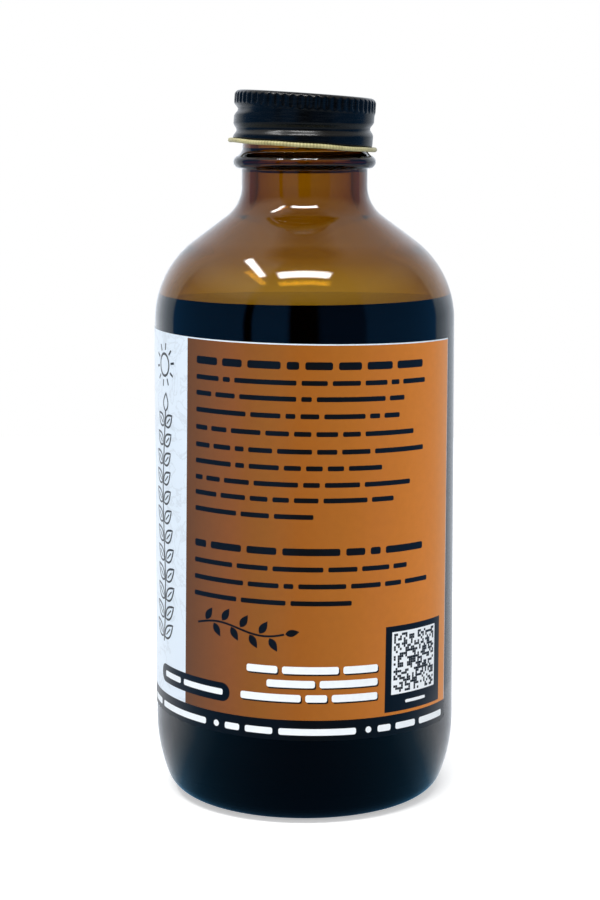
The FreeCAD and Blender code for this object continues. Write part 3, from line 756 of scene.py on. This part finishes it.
tree, given = shape_tree("knurls", ["Count", "Half width", "Depth", "Foot", "Run out", "Radius"])
height, radius, outwards, angle = round_axis(tree)
share = calc(tree, "MULTIPLY", calc(tree, "DIVIDE", angle, math.tau), given["Count"])
stretch = calc(tree, "DIVIDE", calc(tree, "MULTIPLY", given["Radius"], math.tau), given["Count"])
across = calc(tree, "MULTIPLY", calc(tree, "PINGPONG", share, 0.5), stretch)
groove = ease(tree, across, given["Half width"], 0.0)
fade = ease(tree, height, given["Foot"], calc(tree, "ADD", given["Foot"], given["Run out"]))
groove = calc(tree, "MULTIPLY", calc(tree, "MULTIPLY", groove, fade), given["Depth"])
limit = calc(tree, "SUBTRACT", given["Radius"], groove)
cut = calc(tree, "MINIMUM", calc(tree, "SUBTRACT", limit, radius), 0.0)
knurl_tree = end_tree(tree, given, pushed(tree, given["Geometry"], outwards, cut))

# Stoving enamel on tinplate: a thin black coat with the slight orange peel that it gets in the oven,
# a soft gloss, and fine scuffs from handling that dull it in streaks.
enamel, tree = new_material("black_stoved_enamel")
place = own_place(tree)
relief = bump(tree, noise(tree, place, 0.6, 1.0), 0.004)
flat = add_node(tree, "ShaderNodeMapping", {"Vector": place, "Rotation": (0.3, 0.2, 0.5), "Scale": (1, 1, 9)})
scuffs = noise(tree, flat, 3, 4.0, {"Roughness": 0.65})
rough = spread(tree, scuffs, 0.35, 0.75, 0.21, 0.33)
coat(tree, {"Base Color": ramp(tree, scuffs, (0.45, "#030405"), (0.8, "#0B0D0F")), "Roughness": rough,
            "IOR": 1.38, "Normal": relief})

# The skirt's radius, the tin's thickness, the knurled band's radius, and the top and its rounded edge
skirt, tin, knurled, cap_top, cap_edge = 14.2, 0.28, 14.35, 9.85, 1.1
inner_edge, band_foot, step_foot, curl_top, curl = cap_edge - tin, 7.1, 6.15, 1.1, 0.14
outside = (
    [(0, cap_top), (6, cap_top), (11, cap_top)]
    + arc((knurled - cap_edge, cap_top - cap_edge), cap_edge, 90, 0, 10)
    + run((knurled, cap_top - cap_edge), (knurled, band_foot), 10)
    + [(knurled, band_foot), (14.345, 6.98), (14.32, 6.82), (14.275, 6.64), (14.235, 6.46), (14.21, 6.3)]
    + [(skirt, step_foot)] + run((skirt, step_foot), (skirt, curl_top), 40)
    + [(skirt, curl_top), (14.2, 0.7), (14.17, 0.35), (14.1, 0.08), (14.06, 0.0)])
inside = (
    [(13.98, 0.04), (13.92, curl)]
    + run((skirt - tin, curl), (skirt - tin, cap_top - cap_edge), 52)
    + arc((skirt - tin - inner_edge, cap_top - cap_edge), inner_edge, 0, 90, 6)
    + [(8, cap_top - tin), (0, cap_top - tin)])
cap = lathe("cap_tin_shell", outside + inside, 432, enamel)
shape(cap, thread_tree, enamel, {
    "Height": -0.7 * MM, "Half width": 1.45 * MM, "Pitch": 4.233 * MM, "Level at zero": 3.75 * MM,
    "Start angle": -185.0, "End angle": 205.0, "Fade angle": 32.0, "Least radius": 13 * MM})
shape(cap, knurl_tree, enamel, {
    "Count": 54.0, "Half width": 0.62 * MM, "Depth": 0.3 * MM, "Foot": 6.2 * MM, "Run out": 1.7 * MM,
    "Radius": knurled * MM})
cap.data.transform(cap_frame)
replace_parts(cap, "cap_shell")
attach(cap, "cap")


# ---------------------------------------------------------------- the wad in the cap
# Two discs pressed into the top of the cap: buff pulp board behind, white film against the rim.

board, tree = new_material("pulp_board")
fibres = noise(tree, own_place(tree), 0.4, 4.0)
coat(tree, {"Base Color": ramp(tree, fibres, (0.3, "#A89B82"), (0.7, "#CDC2AA")), "Roughness": 0.9,
            "Normal": bump(tree, fibres, 0.05, 0.6)})

# Polythene film on the board: white and a little waxy, with the board's fibres just showing in it.
film, tree = new_material("white_liner_film")
fibres = noise(tree, own_place(tree), 0.7, 3.0)
coat(tree, {"Base Color": ramp(tree, fibres, (0.3, "#DFDFD8"), (0.7, "#EFEFEB")), "Roughness": 0.28,
            "Normal": bump(tree, fibres, 0.02)})
for name, material in (("liner_board", board), ("liner_film", film)):
    frame["nodes"][name].data.materials.clear()
    frame["nodes"][name].data.materials.append(material)


# ---------------------------------------------------------------- the elastic loop
# A thin round elastic with a braided gold cover, tied at the back and slipped over the cap, so that
# it lies just under the cap's curled edge. The knot is two wraps, and its two cut ends hang frayed.

tree, given = shape_tree("braided_cord", ["Thickness", "Strand length", "Strands", "Relief", "Step"])
path = add_node(tree, "GeometryNodeMeshToCurve", (given["Geometry"],))
path = add_node(tree, "GeometryNodeCurveSplineType", (path,), spline_type="CATMULL_ROM")
path = add_node(tree, "GeometryNodeResampleCurve", {"Curve": path, "Length": given["Step"]}, mode="LENGTH")
spot = add_node(tree, "GeometryNodeSplineParameter").outputs
path = kept(tree, path, "along", spot["Length"])
half = calc(tree, "DIVIDE", given["Thickness"], 2.0)
edge = add_node(tree, "GeometryNodeCurvePrimitiveCircle", {"Resolution": 24, "Radius": half})
edge = kept(tree, edge, "around", spot["Factor"])
tube = add_node(tree, "GeometryNodeCurveToMesh", {"Curve": path, "Profile Curve": edge, "Fill Caps": True})
along = add_node(tree, "GeometryNodeInputNamedAttribute", {"Name": "along"}).outputs["Attribute"]
around = add_node(tree, "GeometryNodeInputNamedAttribute", {"Name": "around"}).outputs["Attribute"]
laps = calc(tree, "DIVIDE", along, given["Strand length"])
turns = calc(tree, "MULTIPLY", around, given["Strands"])
lays = [calc(tree, "SINE", calc(tree, "MULTIPLY", calc(tree, way, turns, laps), math.tau))
        for way in ("ADD", "SUBTRACT")]
weave = calc(tree, "MULTIPLY", *lays)
tube = kept(tree, tube, "weave", weave)
normal = add_node(tree, "GeometryNodeInputNormal")
tube = pushed(tree, tube, normal, calc(tree, "MULTIPLY", weave, given["Relief"]))
tube = add_node(tree, "GeometryNodeSetShadeSmooth", {"Geometry": tube, "Shade Smooth": True})
cord_tree = end_tree(tree, given, tube)

# Polyester braid over rubber: pale gold yarns, soft at the edges, with random tone; painted shade darkens the
# sunken gaps where they cross, and the raised crowns are painted paler. A real braid of this size has 16
# yarns, and here it has 8, so that they show.
braid, tree = new_material("gold_braided_elastic")
weave = add_node(tree, "ShaderNodeAttribute", attribute_name="weave").outputs["Fac"]
place = own_place(tree)
yarn_tone_and_painted_shade = calc(tree, "ADD", spread(tree, weave, -1.0, 1.0), noise(tree, place, 2.5, 2.0))
# painted shade: darker where the braid sinks between yarns, paler on its raised crowns
yarn_tone_and_painted_shade = ramp(tree, calc(tree, "MULTIPLY", yarn_tone_and_painted_shade, 0.5), (0.2, "#6F6538"), (0.45, "#A59C67"), (0.8, "#CBC38D"))
relief = bump(tree, noise(tree, place, 0.08, 2.0), 0.015, 0.6)
coat(tree, {"Base Color": yarn_tone_and_painted_shade, "Roughness": 0.42, "Sheen Weight": 0.15, "Normal": relief})


def cord(name, paths, sizes):
    """A braided cord along each path, given in millimetres in the cap's frame."""
    mesh = bpy.data.meshes.new(name)
    spots = [spot for path in paths for spot in path]
    ends = {len(path) + sum(len(other) for other in paths[:number]) - 1 for number, path in enumerate(paths)}
    mesh.from_pydata([Vector(spot) * MM for spot in spots],
                     [(spot, spot + 1) for spot in range(len(spots) - 1) if spot not in ends], [])
    piece = shape(new_piece(name, mesh, braid), cord_tree, braid, sizes)
    piece.data.transform(cap_frame)
    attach(piece, "loop")
    return piece


# The loop's radius, its level from the cap's foot, and the knot's distance from the axis
lie, level, knot_out = 14.72, -0.42, 15.4
ring = [(0.4, knot_out, level), (0.9, 15.1, level), (1.35, 14.76, level)]
for step in range(1, 90):
    turn = math.radians(85 - step * 350 / 90)
    out = lie + 0.05 * math.sin(5 * turn + 0.6) + 0.03 * math.sin(11 * turn + 2.0)
    ring.append((out * math.cos(turn), out * math.sin(turn),
                 level + 0.05 * math.sin(4 * turn + 1.2) + 0.035 * math.sin(9 * turn + 0.4)))
ring += [(-x, y, z) for x, y, z in ring[2::-1]]
braided = {"Thickness": 0.87 * MM, "Strand length": 1.3 * MM, "Strands": 4.0, "Relief": 0.03 * MM,
           "Step": 0.08 * MM}
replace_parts(cord("elastic_loop", [ring], braided), "stretch_loop")

wraps = []
WRAPS, WRAP_RADIUS, KNOT_LENGTH = 1.75, 0.66, 1.7
for step in range(22):
    turn, across = math.tau * WRAPS * step / 21, KNOT_LENGTH * (step / 21 - 0.5)
    wraps.append((across, knot_out + WRAP_RADIUS * math.cos(turn), level + WRAP_RADIUS * math.sin(turn)))
tails = [[(-0.98, 16.12, -1.1), (-1.32, 16.3, -2.6), (-1.78, 16.5, -4.2)],
         [(0.98, 15.95, -1.4), (1.3, 16.28, -2.6), (1.68, 16.44, -3.95)]]
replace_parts(cord("loop_knot_tied", [tails[0][::-1] + wraps + tails[1]], braided), "loop_knot")

frays = []
for tail in tails:
    tip = Vector(tail[2])
    way = (tip - Vector(tail[1])).normalized()
    side = way.orthogonal().normalized()
    for number in range(16):
        aside = side.copy()
        aside.rotate(Matrix.Rotation(number * 2.4, 3, way))
        out = 0.1 + 0.26 * math.sqrt(number / 15)
        length = 0.42 + 0.1 * math.sin(number * 5.1)
        start = tip + aside * out - way * 0.1
        frays.append([start, start + way * length * 0.5 + aside * 0.05,
                      start + way * length + aside * (0.12 + 0.08 * math.sin(number * 3.7))])
cord("loop_frayed_ends", frays, {"Thickness": 0.11 * MM, "Strand length": 1.3 * MM, "Strands": 1.0,
                                 "Relief": 0.0, "Step": 0.14 * MM})


# ---------------------------------------------------------------- the end
def corners(box):
    """A box's two corners as plain lists."""
    return [list(corner) for corner in box]
